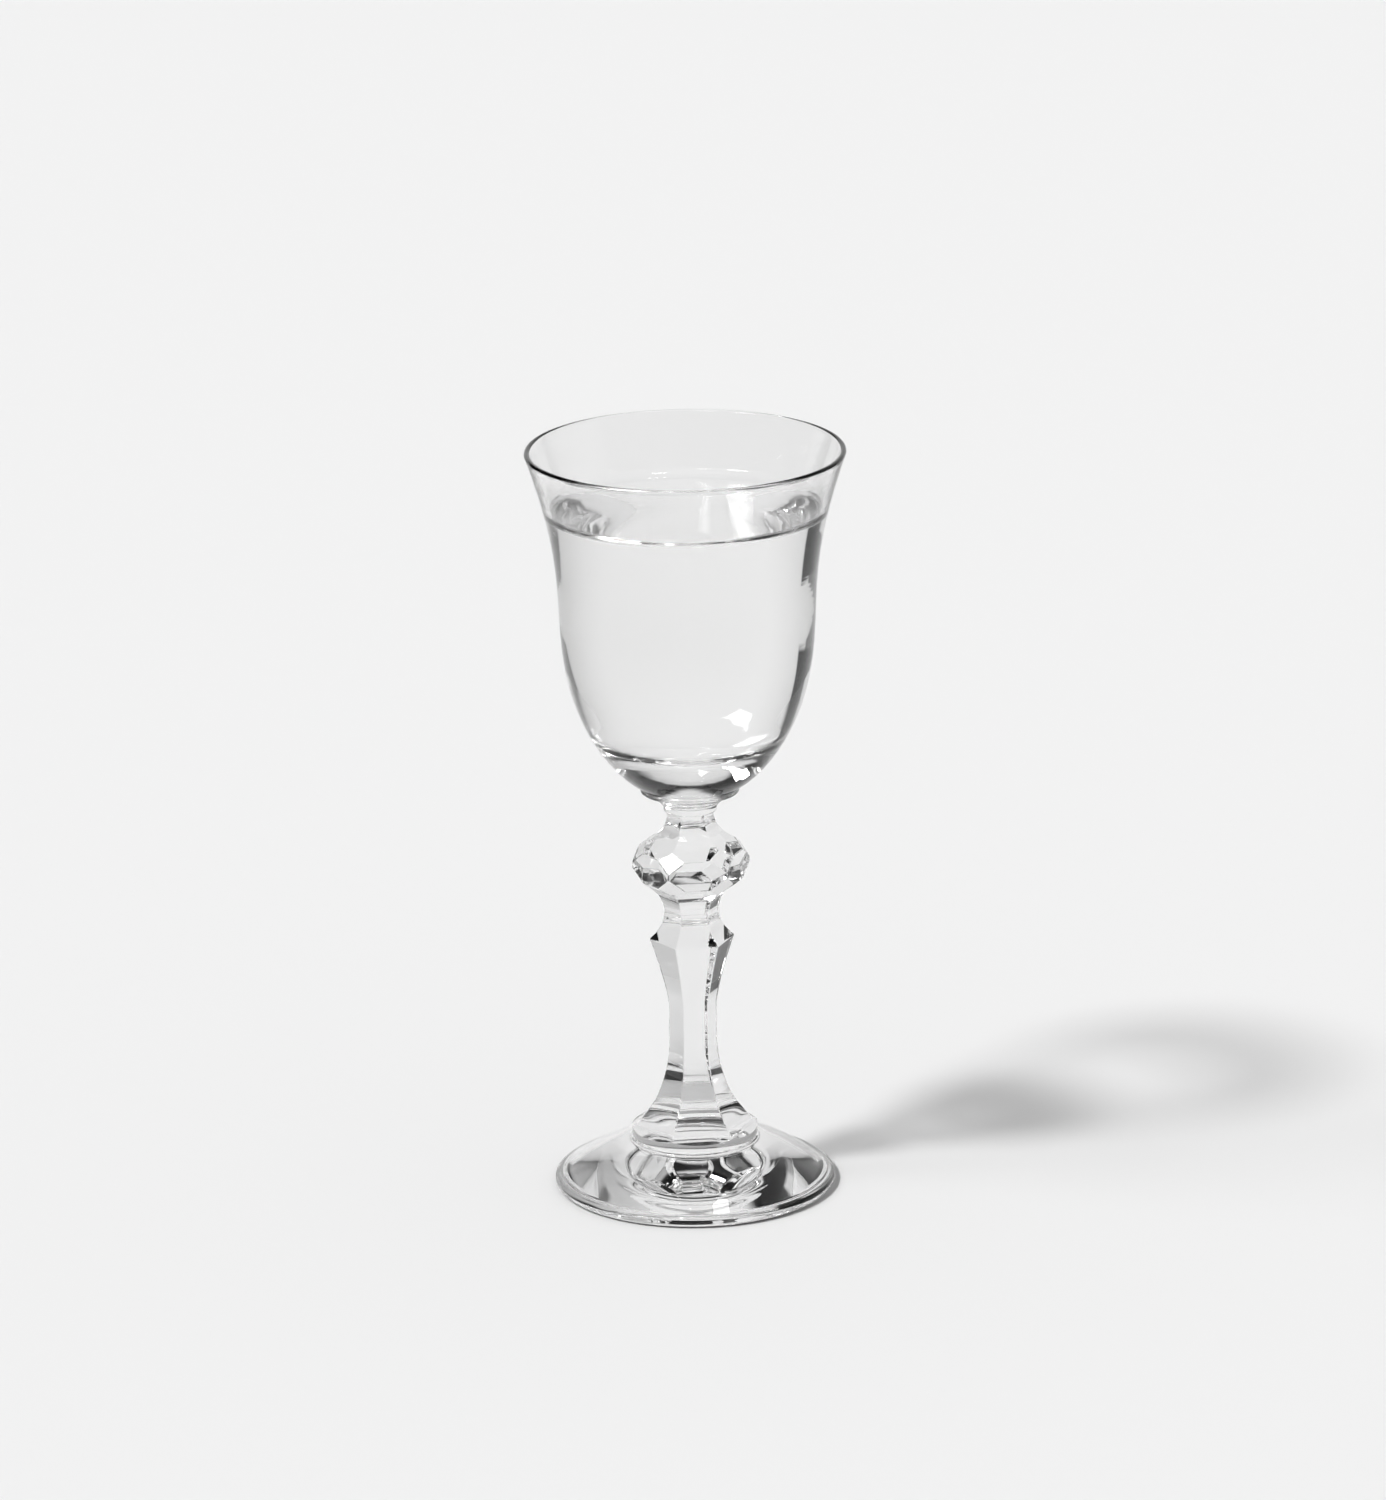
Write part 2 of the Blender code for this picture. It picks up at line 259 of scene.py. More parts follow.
# %% Draw a smooth curve through measured points
def smooth_curve(knots, steps):
    """A natural cubic spline through (r, z) knots, whose bend changes without a jump."""
    knots = np.array(knots)
    reach = np.concatenate(([0.0], np.cumsum(np.linalg.norm(np.diff(knots, axis=0), axis=1))))
    gap = np.diff(reach)
    count = len(knots)
    system, pull = np.eye(count), np.zeros((count, 2))
    for i in range(1, count - 1):
        system[i, i - 1 : i + 2] = gap[i - 1], 2 * (gap[i - 1] + gap[i]), gap[i]
        pull[i] = 6 * ((knots[i + 1] - knots[i]) / gap[i] - (knots[i] - knots[i - 1]) / gap[i - 1])
    bend = np.linalg.solve(system, pull)
    points = []
    for s in np.linspace(0, reach[-1], steps + 1):
        i = min(int(np.searchsorted(reach, s, side="right")) - 1, count - 2)
        b = (s - reach[i]) / gap[i]
        a = 1 - b
        lift = ((a ** 3 - a) * bend[i] + (b ** 3 - b) * bend[i + 1]) * gap[i] ** 2 / 6
        points.append(tuple(float(v) for v in a * knots[i] + b * knots[i + 1] + lift))
    return points


print("a curve over a step of 1:", [round(z, 3) for r, z in smooth_curve([(0, 0), (1, 1), (2, 1)], 4)])

# %% Make the foot
FOOT_RADIUS = 24.9 * MM
FOOT_EDGE = 1.05 * MM
FOOT_EDGE_WIDE = 1.2 * FOOT_EDGE
FOOT_EDGE_BAND = 1.3 * MM
HOLLOW_RADIUS = 21.5 * MM
HOLLOW_DEPTH = 3.0 * MM
FOOT_SWEEP = [
    (23.5, 2.00), (21.0, 3.76), (18.0, 5.57), (15.5, 6.85), (11.9, 8.20), (11.48, 8.38), (11.4, 8.59),
    (11.2, 8.80),
]


def make_foot():
    sphere = (HOLLOW_RADIUS ** 2 + HOLLOW_DEPTH ** 2) / (2 * HOLLOW_DEPTH)
    half = math.degrees(math.asin(HOLLOW_RADIUS / sphere))
    outline = arc((0, HOLLOW_DEPTH - sphere), (sphere, sphere), 90, 90 - half, 24)
    edge_centre = (FOOT_RADIUS - FOOT_EDGE_WIDE, FOOT_EDGE)
    outline += arc(edge_centre, (FOOT_EDGE_WIDE, FOOT_EDGE), -90, 90, 24)
    outline += [(r * MM, z * MM) for r, z in smooth_curve(FOOT_SWEEP, 90)]
    outline[-1] = (outline[-1][0], foot_top)
    outline.append((0.0, foot_top))
    bm = spin_outline(outline)
    mark_flat_ends(bm, [foot_top], 1)
    for face in bm.faces:
        middle = face.calc_center_median()
        if math.hypot(middle.x, middle.y) > FOOT_RADIUS - FOOT_EDGE_BAND:
            face.material_index = 2
    return show("foot_crystal", bm, [turned_crystal, fused_joint, thick_crystal], 40, "foot")


make_foot()

# %% [markdown]
# ## The baluster
# The lower stem was cut on a wheel into six sides. Its half width changes along the height: a flared
# neck, a sharp shoulder, a waisted shaft and a skirt. Six-sided rings drawn through those half widths
# give the cut faces. The skirt runs out on a round hem, so the six-sided body is cut to a turned
# blank, which leaves the curved lower ends of the facets. A small bevel stands for the polish.

# %% Draw a six-sided body through its half widths
HEX_CORNER = 1 / math.cos(math.radians(30))


def eased(start, end, share, power):
    """A value that leaves start slowly and reaches end steeply."""
    return start + (end - start) * share ** power


def six_sided(levels):
    """Draw a hexagon, a flat facing -Y, up through (half width, z) levels and close both ends."""
    bm = bmesh.new()
    first, low = levels[0]
    ring = bmesh.ops.create_circle(bm, cap_ends=False, segments=6, radius=first * HEX_CORNER)["verts"]
    bmesh.ops.rotate(bm, verts=ring, cent=(0, 0, 0), matrix=Matrix.Rotation(math.radians(30), 3, "Z"))
    bmesh.ops.translate(bm, verts=ring, vec=(0, 0, low))
    edges = bm.edges[:]
    for half, z in levels[1:]:
        grown = bmesh.ops.extrude_edge_only(bm, edges=edges)["geom"]
        edges = [item for item in grown if isinstance(item, bmesh.types.BMEdge)]
        for vert in [item for item in grown if isinstance(item, bmesh.types.BMVert)]:
            flat = Vector((vert.co.x, vert.co.y)).normalized() * half * HEX_CORNER
            vert.co = (flat.x, flat.y, z)
    bmesh.ops.holes_fill(bm, edges=[edge for edge in bm.edges if edge.is_boundary], sides=6)
    bmesh.ops.recalc_face_normals(bm, faces=bm.faces)
    return bm


def polish(bm, width, least_degrees, ends):
    """Round the cut edges a little, but not the rims of the joint faces at these heights."""
    least = math.radians(least_degrees)
    cut_edges = []
    for edge in bm.edges:
        at_end = any(all(abs(v.co.z - z) < SAME_HEIGHT for v in edge.verts) for z in ends)
        if not at_end and edge.calc_face_angle(0) > least:
            cut_edges.append(edge)
    bmesh.ops.bevel(
        bm, geom=cut_edges, offset=width, offset_type="OFFSET", segments=2, profile=0.5,
        affect="EDGES", clamp_overlap=True, material=-1,
    )
    bmesh.ops.recalc_face_normals(bm, faces=bm.faces)
    print("polished", len(cut_edges), "edges")


# %% Make the baluster
SHOULDER_HALF = 6.55 * MM
SHOULDER_DROP = 5.3 * MM
SHAFT_HALF = 3.75 * MM
BALUSTER_NECK_HALF = 4.2 * MM
SHAFT_TOP = 33.4 * MM
HEM_RADIUS = 11.15 * MM
HEM_SOFT = 0.3 * MM
SHAFT_STEPS, SHAFT_FLARE = 16, 1.3
NECK_STEPS, NECK_FLARE = 14, 2.4
BALUSTER_POLISH = 0.15 * MM
SKIRT = [
    (14.0, 10.10), (11.1, 10.42), (9.9, 10.75), (9.1, 11.15), (7.88, 12.7), (6.62, 14.6), (5.37, 17.3),
    (4.48, 20.4), (3.88, 24.0), (3.75, 27.5),
]


def baluster_levels():
    """Half widths from the joint at the foot up to the neck under the knop."""
    shoulder = baluster_top - SHOULDER_DROP
    levels = [(SKIRT[0][0] * MM, foot_top + SEAM)]
    levels += [(half * MM, z * MM) for half, z in smooth_curve(SKIRT, 54)]
    levels.append((SHAFT_HALF, SHAFT_TOP))
    for i in range(1, SHAFT_STEPS + 1):
        share = i / SHAFT_STEPS
        half = eased(SHAFT_HALF, SHOULDER_HALF, share, SHAFT_FLARE)
        levels.append((half, SHAFT_TOP + (shoulder - SHAFT_TOP) * share))
    for i in range(1, NECK_STEPS + 1):
        share = i / NECK_STEPS
        half = eased(BALUSTER_NECK_HALF, SHOULDER_HALF, 1 - share, NECK_FLARE)
        levels.append((half, shoulder + SHOULDER_DROP * share))
    return levels


def hem_outline():
    """The turned blank that the skirt is cut from."""
    low = foot_top + SEAM
    top = baluster_top + HEM_RADIUS
    return [
        (0.0, low),
        (HEM_RADIUS - HEM_SOFT, low),
        (HEM_RADIUS, low + HEM_SOFT),
        (HEM_RADIUS, top),
        (0.0, top),
    ]


def bake_modifiers(piece):
    """Replace the piece's mesh by what its modifiers make of it."""
    bpy.context.view_layer.update()
    evaluated = piece.evaluated_get(bpy.context.evaluated_depsgraph_get())
    baked = bpy.data.meshes.new_from_object(evaluated)
    piece.modifiers.clear()
    piece.data = baked
    return piece


def plain_object(name, bm):
    """An object that only helps to make another piece."""
    mesh = bpy.data.meshes.new(name)
    bm.to_mesh(mesh)
    bm.free()
    helper = bpy.data.objects.new(name, mesh)
    bpy.context.scene.collection.objects.link(helper)
    return helper


def make_baluster():
    bm = six_sided(baluster_levels())
    polish(bm, BALUSTER_POLISH, 25, [foot_top + SEAM, baluster_top])
    body = plain_object("baluster_body", bm)
    blank = plain_object("baluster_blank", spin_outline(hem_outline()))
    cut = body.modifiers.new("round_hem", "BOOLEAN")
    cut.operation = "INTERSECT"
    cut.solver = "EXACT"
    cut.object = blank
    bake_modifiers(body)
    bm = bmesh.new()
    bm.from_mesh(body.data)
    bpy.data.objects.remove(body)
    bpy.data.objects.remove(blank)
    mark_flat_ends(bm, [foot_top + SEAM, baluster_top], 1)
    return show("baluster_crystal", bm, [cut_crystal, fused_joint], 10, "baluster")


make_baluster()

# %% [markdown]
# ## The knop
# The knop is a six-sided prism whose corners were ground off above and below, so each corner carries
# two small lozenges. Grinding is cutting with a plane, and bisect_plane with a filled cut does the
# same to a mesh. The two necks are then drawn out of its flat ends.

# %% Grind the knop
KNOP_HALF = 9.05 * MM
KNOP_BAND = 2.7 * MM
KNOP_CENTRE = knop_low + 8.3 * MM
KNOP_EDGE = 0.5 * MM
KNOP_SLOPE = 0.70
KNOP_TOP_HALF = 3.6 * MM
KNOP_LOW_HALF = 4.2 * MM
KNOP_POLISH = 0.12 * MM
BODY_BELOW = [(0.18, 0.71), (0.45, 0.54)]
BODY_ABOVE = [(0.50, 0.46), (0.26, 0.57)]
NECK_ABOVE = [(0.12, 0.68), (0.04, 0.79), (0.0, 0.90)]
NECK_BELOW = [(0.11, 0.80), (0.05, 0.90)]


def grind(bm, point, normal):
    """Cut away what lies beyond a plane and close the cut with one flat facet."""
    parts = bm.verts[:] + bm.edges[:] + bm.faces[:]
    cut = bmesh.ops.bisect_plane(
        bm, geom=parts, dist=1e-8, plane_co=point, plane_no=normal, clear_outer=True,
    )
    rim = [item for item in cut["geom_cut"] if isinstance(item, bmesh.types.BMEdge)]
    bmesh.ops.holes_fill(bm, edges=rim, sides=0)


def draw_neck(bm, levels, side):
    """Draw the highest (side 1) or lowest (side -1) flat out through (half width, z) levels."""
    for half, z in levels:
        cap = max(bm.faces, key=lambda face: side * face.calc_center_median().z)
        grown = bmesh.ops.extrude_discrete_faces(bm, faces=[cap])["faces"][0]
        for vert in grown.verts:
            flat = Vector((vert.co.x, vert.co.y)).normalized() * half * HEX_CORNER
            vert.co = (flat.x, flat.y, z)


def above(share, reach):
    """A level over the knop's middle: its share of the full width and of the way up."""
    half = eased(KNOP_TOP_HALF, KNOP_HALF, share, 1.0)
    return half, KNOP_CENTRE + reach * (knop_top - KNOP_CENTRE)


def below(share, reach):
    """A level under the knop's middle: its share of the full width and of the way down."""
    half = eased(KNOP_LOW_HALF, KNOP_HALF, share, 1.0)
    return half, KNOP_CENTRE - reach * (KNOP_CENTRE - knop_low)


def make_knop():
    band = [(KNOP_HALF, KNOP_CENTRE - KNOP_BAND), (KNOP_HALF, KNOP_CENTRE + KNOP_BAND)]
    bm = six_sided([below(*at) for at in BODY_BELOW] + band + [above(*at) for at in BODY_ABOVE])
    tilt = math.atan(KNOP_SLOPE)
    for i in range(6):
        angle = math.radians(60 * i)
        outward = Vector((math.cos(angle), math.sin(angle), 0))
        for side in (-1, 1):
            point = outward * KNOP_HALF * HEX_CORNER + Vector((0, 0, KNOP_CENTRE + side * KNOP_EDGE))
            grind(bm, point, outward * math.cos(tilt) + Vector((0, 0, side * math.sin(tilt))))
    draw_neck(bm, [above(*at) for at in NECK_ABOVE] + [(KNOP_TOP_HALF, knop_top)], 1)
    draw_neck(bm, [below(*at) for at in NECK_BELOW] + [(KNOP_LOW_HALF, baluster_top + SEAM)], -1)
    bmesh.ops.recalc_face_normals(bm, faces=bm.faces)
    polish(bm, KNOP_POLISH, 12, [baluster_top + SEAM, knop_top])
    mark_flat_ends(bm, [baluster_top + SEAM, knop_top], 1)
    return show("knop_crystal", bm, [ball_crystal, fused_joint], 5, "knop")


make_knop()

# %% [markdown]
# ## The collar under the bowl
# A small gather was pressed flat against the bowl's base before the stem was joined. It is turned: a
# short ring where the stem starts, two fine beads, a shallow cone and a thin rounded edge.

# %% Make the collar
MERESE_RADIUS = 8.7 * MM
MERESE_RING_RADIUS = 4.7 * MM
MERESE_SOFT = 0.425 * MM
MERESE_EDGE = 0.25 * MM
MERESE_CONE = (5.7 * MM, 2.68 * MM)
STEM_REACH = 1.08 * KNOP_TOP_HALF
MERESE_BEADS = [
    (4.80 * MM, 1.35 * MM, 0.45 * MM, 0.34 * MM),
    (5.50 * MM, 2.15 * MM, 0.55 * MM, 0.38 * MM),
]


def make_merese():
    low = knop_top + SEAM
    soft = (MERESE_SOFT, MERESE_SOFT)
    outline = [(0.0, low), (STEM_REACH, low)]
    outline += arc((MERESE_RING_RADIUS - MERESE_SOFT, low + MERESE_SOFT), soft, -90, 0, 6)
    for radius, height, wide, tall in MERESE_BEADS:
        outline += arc((radius, merese_low + height), (wide, tall), -90, 90, 10)
    cone_radius, cone_height = MERESE_CONE
    outline.append((cone_radius, merese_low + cone_height))
    edge_centre = (MERESE_RADIUS - MERESE_EDGE, merese_top - MERESE_EDGE)
    outline += arc(edge_centre, (MERESE_EDGE, MERESE_EDGE), -70, 90, 16)
    outline.append((0.0, merese_top))
    bm = spin_outline(outline)
    mark_flat_ends(bm, [low], 1, KNOP_TOP_HALF)
    mark_flat_ends(bm, [merese_top], 1)
    return show("merese_crystal", bm, [thick_crystal, fused_joint], 40, "merese")


make_merese()

# %% [markdown]
# ## The bowl
# The bowl was blown: a round belly, nearly straight sides and a flare to the rim, where the edge was
# melted round. The inside has a curve of its own, which leaves the base thick. Both are splines
# through measured radii. Below the line that the drink reaches, the inside is wetted, so those faces
# get the glass-to-liquid index. Outside, the thick base and the belly have their own clear finishes.

# %% Draw both sides of the wall and the line of the drink
RIM_WALL = 1.0 * MM
BOWL_FOOT_RADIUS = 8.57 * MM
DRINK_LEVEL = 123.0 * MM
CAPILLARY = 1.79 * MM
CLIMB_STEPS, CLIMB_ANGLE, CLIMB_EASE = 40, math.radians(66), 1.5
LINE_GAP = 0.1 * MM
OUTSIDE = [
    (8.57, 73.5), (10.70, 75.0), (13.80, 78.0), (17.25, 83.0), (20.25, 90.0), (21.80, 97.0),
    (22.40, 105.0), (22.80, 112.0), (23.98, 120.0), (25.98, 128.0), (27.95, 134.1),
]
INSIDE = [
    (0.0, 81.8), (6.0, 82.0), (11.5, 83.0), (15.2, 85.2), (17.8, 88.6), (19.5, 93.0), (20.6, 98.8),
    (21.12, 105.0), (21.54, 112.0), (22.78, 120.0), (24.88, 128.0), (26.95, 134.1),
]
outside_curve = [(r * MM, z * MM) for r, z in smooth_curve(OUTSIDE, 130)]
other_half = [(-r, z) for r, z in INSIDE[3:0:-1]]
inside_curve = smooth_curve(other_half + INSIDE, 200)
inside_curve = [(max(r, 0) * MM, z * MM) for r, z in inside_curve if r > -1e-6]
inside_curve[0] = (0.0, inside_curve[0][1])


def radius_at(curve, height):
    """The curve's radius at a height."""
    return float(np.interp(height, [z for r, z in curve], [r for r, z in curve]))


def meniscus():
    """The climb at the wall: (distance from the wall, height) where weight balances tension."""
    points, away = [], 0.0
    for i in range(CLIMB_STEPS):
        slope = CLIMB_ANGLE * (1 - i / CLIMB_STEPS) ** CLIMB_EASE
        lower = CLIMB_ANGLE * (1 - (i + 1) / CLIMB_STEPS) ** CLIMB_EASE
        points.append((away, 2 * CAPILLARY * math.sin(slope / 2)))
        fall = 2 * CAPILLARY * (math.sin(slope / 2) - math.sin(lower / 2))
        away += fall / math.tan((slope + lower) / 2)
    return points


climb = meniscus()
WET_LINE = DRINK_LEVEL + climb[0][1]
wet_curve = [point for point in inside_curve if point[1] < WET_LINE - LINE_GAP]
wet_curve.append((radius_at(inside_curve, WET_LINE), WET_LINE))
dry_curve = [point for point in inside_curve if point[1] > WET_LINE + LINE_GAP]
print("drink stands at", round(DRINK_LEVEL / MM, 1), "mm and climbs to", round(WET_LINE / MM, 2), "mm")

# %% Make the bowl
THICK_BASE = 80.0 * MM
BELLY_LOW, BELLY_TOP = 85.0 * MM, 104.0 * MM


def make_bowl():
    low = merese_top + SEAM
    lip_r, lip_z = outside_curve[-1]
    outline = [(0.0, low), (BOWL_FOOT_RADIUS, low)] + outside_curve
    outline += arc((lip_r - RIM_WALL / 2, lip_z), (RIM_WALL / 2, RIM_WALL / 2), 0, 180, 16)[1:-1]
    outline += list(reversed(dry_curve)) + list(reversed(wet_curve))
    bm = spin_outline(outline)
    mark_flat_ends(bm, [low], 2)
    for face in bm.faces:
        middle = face.calc_center_median()
        inward = face.normal.dot(Vector((middle.x, middle.y, 0))) < 0 or face.normal.z > 0.3
        if inward and middle.z < WET_LINE:
            face.material_index = 1
        elif not inward and low + SEAM < middle.z < THICK_BASE:
            face.material_index = 3
        elif not inward and BELLY_LOW < middle.z < BELLY_TOP:
            face.material_index = 4
    finishes = [blown_crystal, wetted_crystal, fused_joint, thick_crystal, lens_crystal]
    return show("bowl_crystal", bm, finishes, 50, "bowl")


make_bowl()

# %% [markdown]
# ## The drink
# Vodka is as clear as water. Its top is flat in the middle and climbs the wall at the rim of the
# surface, as any liquid that wets glass does, and that narrow climb is what draws the bright and dark
# double line in the bowl. Its sides touch the glass, so they are as see-through as a fused joint.

# %% Pour the drink
DRINK_BELLY = 95 * MM


def make_drink():
    edge = wet_curve[-1][0] - SEAM
    outline = [(0.0, DRINK_LEVEL)]
    outline += [(edge - away, DRINK_LEVEL + height) for away, height in reversed(climb)]
    outline += [(max(r - SEAM, 0.0), z + SEAM * (z < DRINK_BELLY)) for r, z in reversed(wet_curve[:-1])]
    bm = spin_outline(outline)
    for face in bm.faces:
        if face.normal.z < 0.2:
            face.material_index = 1
    return show("vodka", bm, [vodka_top, fused_joint], 50, None)


make_drink()

# %% [markdown]
# ## The table
# The eye sees a plain pale table. Clear glass has no colour of its own: its dark lines are the dark
# parts of what stands around it, so a table that is evenly bright everywhere leaves the glass empty.
# The Light Path node lets the table have a second look, for light that the glass bends or mirrors:
# there its colour is painted darker at the sides and in front, as painted shade, and a painted glow
# under the foot stands in for the light that the glass gathers there. Light that goes straight
# through to the side or the front sees the plain table, so the glass looks clear from every side.

# %% Node short-hands
VIEW_TURN = math.radians(-7.5)


def seen_from_camera(x, y, z):
    """A direction given as right, away and up for the camera, in the glass's own axes."""
    c, s = math.cos(VIEW_TURN), math.sin(VIEW_TURN)
    return Vector((x * c - y * s, x * s + y * c, z))


def node_tools(tree):
    """Short-hands that add a sum, a grey ramp, a reach and a blend to a node tree."""
    nodes, links = tree.nodes, tree.links

    def feed(socket, value):
        if isinstance(value, (int, float, tuple)):
            socket.default_value = value
        else:
            links.new(value, socket)

    def calc(operation, *values, clamp=False):
        """A sum whose inputs are numbers or other nodes' outputs."""
        node = nodes.new("ShaderNodeMath")
        node.operation = operation
        node.use_clamp = clamp
        for socket, value in zip(node.inputs, values):
            feed(socket, value)
        return node.outputs["Value"]

    def ramp(value, stops):
        """A grey ramp through (position, brightness) stops."""
        node = nodes.new("ShaderNodeValToRGB")
        while len(node.color_ramp.elements) < len(stops):
            node.color_ramp.elements.new(0.5)
        for element, (position, grey) in zip(node.color_ramp.elements, stops):
            element.position = position
            element.color = (grey, grey, grey, 1.0)
        feed(node.inputs["Fac"], value)
        return node.outputs["Color"]

    def reach(source, direction):
        """How far a point lies along a direction."""
        node = nodes.new("ShaderNodeVectorMath")
        node.operation = "DOT_PRODUCT"
        node.inputs[1].default_value = direction
        feed(node.inputs[0], source)
        return node.outputs["Value"]

    def blend(factor, first, second, how="MIX", kind="RGBA"):
        """Two colours, or with kind FLOAT two values, mixed or multiplied."""
        node = nodes.new("ShaderNodeMix")
        node.data_type = kind
        node.blend_type = how
        for name, value in (("Factor", factor), ("A", first), ("B", second)):
            feed(node.inputs[name], value)
        return node.outputs["Result"]

    return calc, ramp, reach, blend


def straight_on(calc, path):
    """1 for light that has gone through skins of glass without being mirrored by one, else 0."""
    return calc("LESS_THAN", path.outputs["Glossy Depth"], 0.5)


print("the camera looks along", [round(v, 3) for v in seen_from_camera(0, 1, 0)])

# %% How bright the glass finds the table
FAN_SPREAD, FAN_START, FAN_LEAST = 0.80, 0.10, 0.42
FAN_RIGHT, FAN_WIDE = 0.27, 1.25
FAN_FADE = [(0.30, 0.772), (0.68, 0.647), (0.78, 0.60), (0.84, 0.10)]
LEFT_EDGE = (-25.0, -19.5)
LEFT_FROM = (20.0, -8.6)
LEFT_DIM, RIGHT_DIM = -0.97, -0.13
NEAREST = 0.01
FRONT_FADE = [(0.22, 0.03), (0.42, 1.0)]


def table_for_glass(tools, right, aside, away):
    """A painted fan of light that opens behind the glass, with painted shade at its edges and in front."""
    calc, ramp, _, blend = tools
    fan = calc("MAXIMUM", calc("MULTIPLY_ADD", away, FAN_SPREAD, FAN_START), FAN_LEAST)
    slant = calc("DIVIDE", right, calc("MAXIMUM", away, NEAREST))
    rightward = calc("MULTIPLY", slant, 1.0, clamp=True)
    widened = calc("MULTIPLY_ADD", rightward, FAN_RIGHT, FAN_WIDE)
    sides = ramp(calc("DIVIDE", aside, calc("MULTIPLY", fan, widened)), FAN_FADE)
    past_edge = calc("MULTIPLY_ADD", slant, *LEFT_EDGE, clamp=True)
    far_off = calc("MULTIPLY_ADD", away, *LEFT_FROM, clamp=True)
    left_lit = calc("MULTIPLY_ADD", calc("MULTIPLY", past_edge, far_off), LEFT_DIM, 1.0)
    right_lit = calc("MULTIPLY_ADD", rightward, RIGHT_DIM, 1.0)
    lit = calc("MULTIPLY", left_lit, right_lit)
    front = ramp(calc("MULTIPLY_ADD", away, 1.0, 0.5), FRONT_FADE)
    return blend(1.0, sides, calc("MULTIPLY", front, lit), how="MULTIPLY")


print("behind the glass the table is", FAN_FADE[0][1], "bright, in front", FRONT_FADE[0][1])

# %% Lay the table
TABLE_SIZE = 20.0
TABLE_DROP = 0.08 * MM
TABLE_GREY = (0.80, 0.80, 0.80, 1.0)
# A painted pool of light: the table glows under the foot for rays that the glass bends, in place of the
# light the glass gathers.
UNDER_FOOT_GLOW = 0.30
PAINTED_POOL = [(0.0, UNDER_FOOT_GLOW), (0.0245, UNDER_FOOT_GLOW), (0.0258, 0.0)]
SIDE_SLANT = 0.45
PLAIN_FROM = (12.0, -0.3)


def finish_table(material):
    """Even and pale for the eye; for the glass a painted fan of light and a painted pool of light under
    the foot.
    """
    material.use_nodes = True
    nodes, links = material.node_tree.nodes, material.node_tree.links
    tools = node_tools(material.node_tree)
    calc, ramp, reach, blend = tools
    paper = nodes["Principled BSDF"]
    paper.inputs["Roughness"].default_value = 1.0
    paper.inputs["Specular IOR Level"].default_value = 0.0
    spot = nodes.new("ShaderNodeTexCoord").outputs["Object"]
    right = reach(spot, seen_from_camera(1, 0, 0))
    away = reach(spot, seen_from_camera(0, 1, 0))
    aside = calc("ABSOLUTE", right)
    path = nodes.new("ShaderNodeLightPath")
    past_side = calc("SUBTRACT", calc("MULTIPLY", aside, SIDE_SLANT), away)
    in_front = calc("MULTIPLY_ADD", past_side, *PLAIN_FROM, clamp=True)
    plain_view = calc("MULTIPLY", in_front, straight_on(calc, path))
    plain = calc("MAXIMUM", path.outputs["Is Camera Ray"], plain_view)
    colour = blend(plain, table_for_glass(tools, right, aside, away), TABLE_GREY)
    links.new(colour, paper.inputs["Base Color"])
    from_middle = nodes.new("ShaderNodeVectorMath")
    from_middle.operation = "LENGTH"
    links.new(spot, from_middle.inputs[0])
    # Painted light: a glow under the foot, seen only through the glass.
    painted_pool = ramp(from_middle.outputs["Value"], PAINTED_POOL)
    painted_glow = calc("MULTIPLY", painted_pool, calc("SUBTRACT", 1.0, plain))
    links.new(painted_glow, paper.inputs["Emission Strength"])
    paper.inputs["Emission Color"].default_value = (1.0, 1.0, 1.0, 1.0)


def make_table():
    bm = bmesh.new()
    bmesh.ops.create_grid(bm, x_segments=1, y_segments=1, size=TABLE_SIZE)
    mesh = bpy.data.meshes.new("table")
    bm.to_mesh(mesh)
    bm.free()
    table = bpy.data.objects.new("table", mesh)
    table.location.z = -TABLE_DROP
    bpy.context.scene.collection.objects.link(table)
    material = bpy.data.materials.new("pale_table")
    finish_table(material)
    mesh.materials.append(material)
    print("the table lies", round(TABLE_DROP / MM, 2), "mm under the foot")


make_table()

# %% [markdown]
# ## The lamps
# A soft lamp from the front left is mirrored in the glass, a narrow one beside it draws the white
# lozenge on the bowl, and a small one overhead leaves a spot on the foot. Only glass sees these three.
# The table is lit by three suns that the glass doesn't mirror: one draws the shadow, one softens its
# side and a very wide one fills in from above. Keeping the two sets apart lets each be set by itself.

# %% Hang the lamps
LAMP_AWAY = 8.0
GLASS_MIDDLE = Vector((0, 0, 0.07))


def bearing(azimuth, elevation):
    """A direction by its angle right of straight behind the glass and its height, in degrees."""
    a, e = math.radians(azimuth), math.radians(elevation)
    return (math.sin(a) * math.cos(e), math.cos(a) * math.cos(e), math.sin(e))


def area_lamp(name, direction, size, power, tilt=0.0):
    """A flat lamp that faces the middle of the glass, tilted in its own plane; only glass sees it."""
    lamp = bpy.data.lights.new(name, "AREA")
    lamp.shape = "RECTANGLE"
    lamp.size, lamp.size_y = size
    lamp.energy = power
    holder = bpy.data.objects.new(name, lamp)
    holder.location = seen_from_camera(*direction).normalized() * LAMP_AWAY + GLASS_MIDDLE
    holder.rotation_mode = "QUATERNION"
    facing = seen_from_camera(*direction).to_track_quat("Z", "Y")
    holder.rotation_quaternion = facing @ Quaternion((0, 0, 1), math.radians(tilt))
    holder.visible_diffuse = False
    bpy.context.scene.collection.objects.link(holder)


def sun_lamp(name, direction, strength, degrees):
    """Even light on the table; the glass doesn't mirror it."""
    lamp = bpy.data.lights.new(name, "SUN")
    lamp.energy = strength
    lamp.angle = math.radians(degrees)
    holder = bpy.data.objects.new(name, lamp)
    holder.rotation_mode = "QUATERNION"
    holder.rotation_quaternion = seen_from_camera(*direction).to_track_quat("Z", "Y")
    holder.visible_glossy = False
    holder.visible_transmission = False
    bpy.context.scene.collection.objects.link(holder)


